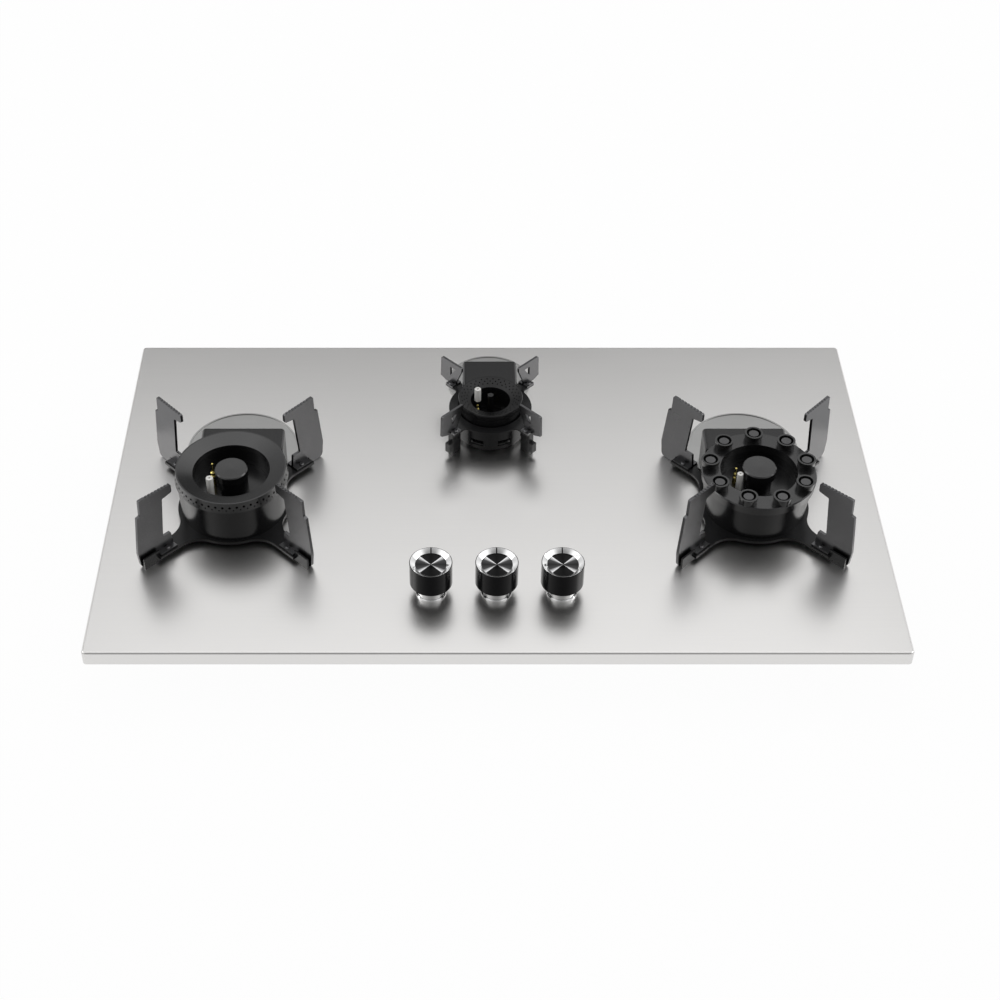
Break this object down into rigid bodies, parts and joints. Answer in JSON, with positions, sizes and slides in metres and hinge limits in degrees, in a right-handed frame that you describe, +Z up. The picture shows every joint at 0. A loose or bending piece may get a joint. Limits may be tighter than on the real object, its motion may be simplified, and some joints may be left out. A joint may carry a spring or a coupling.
{
  "type": "built-in gas hob",
  "caption": "Built-in gas hob: brushed steel top, burners with upright blade pan supports, push-and-turn knobs, and a shallow casing with valves, gas rail, spark unit and battery box.",
  "frame": {"origin": "under the middle of the hob, on the plane of the casing's pressed feet", "axes": "+X to the user's right along the wide side, +Y away from the user, +Z up; the controls are at the front"},
  "size_m": [0.78, 0.466, 0.1435],
  "materials": {
    "steel_top": "fine straight brushing along the width",
    "galvanised": "dull zinc-coated sheet",
    "screw_steel": "dark plated",
    "seal_foam": "closed-cell foam",
    "disc_steel": "plain rolled steel",
    "burner_enamel": "glossy black enamel",
    "ring_black": "satin black enamel",
    "port_grey": "satin dark grey",
    "support_enamel": "satin black enamel",
    "ceramic": "glazed white ceramic",
    "brass": "plain turned brass",
    "valve_alloy": "plain cast and drawn alloy",
    "knob_black": "high-gloss black",
    "knob_metal": "spun disc inside a polished bevel",
    "bezel_chrome": "polished",
    "box_plastic": "fine matt",
    "cell_wrap": "printed wrap left plain"
  },
  "bodies": {
    "hob": {"top_panel": "steel_top", "seal_strip": "seal_foam", "casing_pan": "galvanised", "casing_screws": "screw_steel", "clamp_brackets": "galvanised", "duct_disc_left": "disc_steel", "duct_disc_right": "disc_steel", "duct_disc_middle": "disc_steel", "burner_body_left": "burner_enamel", "burner_body_right": "burner_enamel", "burner_body_middle": "burner_enamel", "electrode_left": "ceramic", "electrode_right": "ceramic", "electrode_middle": "ceramic", "thermocouple_left": "brass", "thermocouple_right": "brass", "thermocouple_middle": "brass", "support_base_left": "support_enamel", "support_base_right": "support_enamel", "support_base_middle": "support_enamel", "support_blades_left": "support_enamel", "support_blades_right": "support_enamel", "support_blades_middle": "support_enamel", "support_screws_left": "screw_steel", "support_screws_right": "screw_steel", "support_screws_middle": "screw_steel", "knob_bezel_left": "bezel_chrome", "knob_bezel_middle": "bezel_chrome", "knob_bezel_right": "bezel_chrome", "valve_body_left": "valve_alloy", "valve_body_middle": "valve_alloy", "valve_body_right": "valve_alloy", "gas_rail": "valve_alloy", "gas_inlet": "brass", "gas_pipe_left": "valve_alloy", "gas_pipe_right": "valve_alloy", "gas_pipe_middle": "valve_alloy", "injectors": "brass", "battery_box": "box_plastic", "battery_cell": "cell_wrap", "spark_unit": "box_plastic"},
    "plunger_left": {"valve_plunger_left": "brass"},
    "knob_left": {"knob_left": "knob_black", "knob_face_left": "knob_metal", "valve_spindle_left": "brass"},
    "plunger_middle": {"valve_plunger_middle": "brass"},
    "knob_middle": {"knob_middle": "knob_black", "knob_face_middle": "knob_metal", "valve_spindle_middle": "brass"},
    "plunger_right": {"valve_plunger_right": "brass"},
    "knob_right": {"knob_right": "knob_black", "knob_face_right": "knob_metal", "valve_spindle_right": "brass"},
    "flame_ring_left": {"flame_ring_left": "ring_black"},
    "centre_cap_left": {"centre_cap_left": "ring_black"},
    "flame_head_right": {"flame_head_right": "ring_black", "port_plugs_right": "port_grey"},
    "centre_cap_right": {"centre_cap_right": "ring_black"},
    "flame_cap_middle": {"flame_cap_middle": "ring_black"},
    "battery_lid": {"battery_lid": "box_plastic"}
  },
  "joints": [
    {"name": "knob_left_push", "type": "slide", "parent": "hob", "child": "plunger_left", "axis": [0, 0, -1], "range_m": [0, 0.004], "stiffness_N_per_m": 1500, "springref_m": -0.002},
    {"name": "knob_left_turn", "type": "hinge", "parent": "plunger_left", "child": "knob_left", "pos_m": [-0.063, -0.152, 0.08], "axis": [0, 0, 1], "range_deg": [0, 210]},
    {"name": "knob_middle_push", "type": "slide", "parent": "hob", "child": "plunger_middle", "axis": [0, 0, -1], "range_m": [0, 0.004], "stiffness_N_per_m": 1500, "springref_m": -0.002},
    {"name": "knob_middle_turn", "type": "hinge", "parent": "plunger_middle", "child": "knob_middle", "pos_m": [0, -0.152, 0.08], "axis": [0, 0, 1], "range_deg": [0, 210]},
    {"name": "knob_right_push", "type": "slide", "parent": "hob", "child": "plunger_right", "axis": [0, 0, -1], "range_m": [0, 0.004], "stiffness_N_per_m": 1500, "springref_m": -0.002},
    {"name": "knob_right_turn", "type": "hinge", "parent": "plunger_right", "child": "knob_right", "pos_m": [0.063, -0.152, 0.08], "axis": [0, 0, 1], "range_deg": [0, 210]},
    {"name": "flame_ring_left_lift", "type": "slide", "parent": "hob", "child": "flame_ring_left", "axis": [0, 0, 1], "range_m": [0, 0.06]},
    {"name": "centre_cap_left_lift", "type": "slide", "parent": "hob", "child": "centre_cap_left", "axis": [0, 0, 1], "range_m": [0, 0.06]},
    {"name": "flame_head_right_lift", "type": "slide", "parent": "hob", "child": "flame_head_right", "axis": [0, 0, 1], "range_m": [0, 0.06]},
    {"name": "centre_cap_right_lift", "type": "slide", "parent": "hob", "child": "centre_cap_right", "axis": [0, 0, 1], "range_m": [0, 0.06]},
    {"name": "flame_cap_middle_lift", "type": "slide", "parent": "hob", "child": "flame_cap_middle", "axis": [0, 0, 1], "range_m": [0, 0.06]},
    {"name": "battery_lid_slide", "type": "slide", "parent": "hob", "child": "battery_lid", "axis": [0, -1, 0], "range_m": [0, 0.06]}
  ]
}
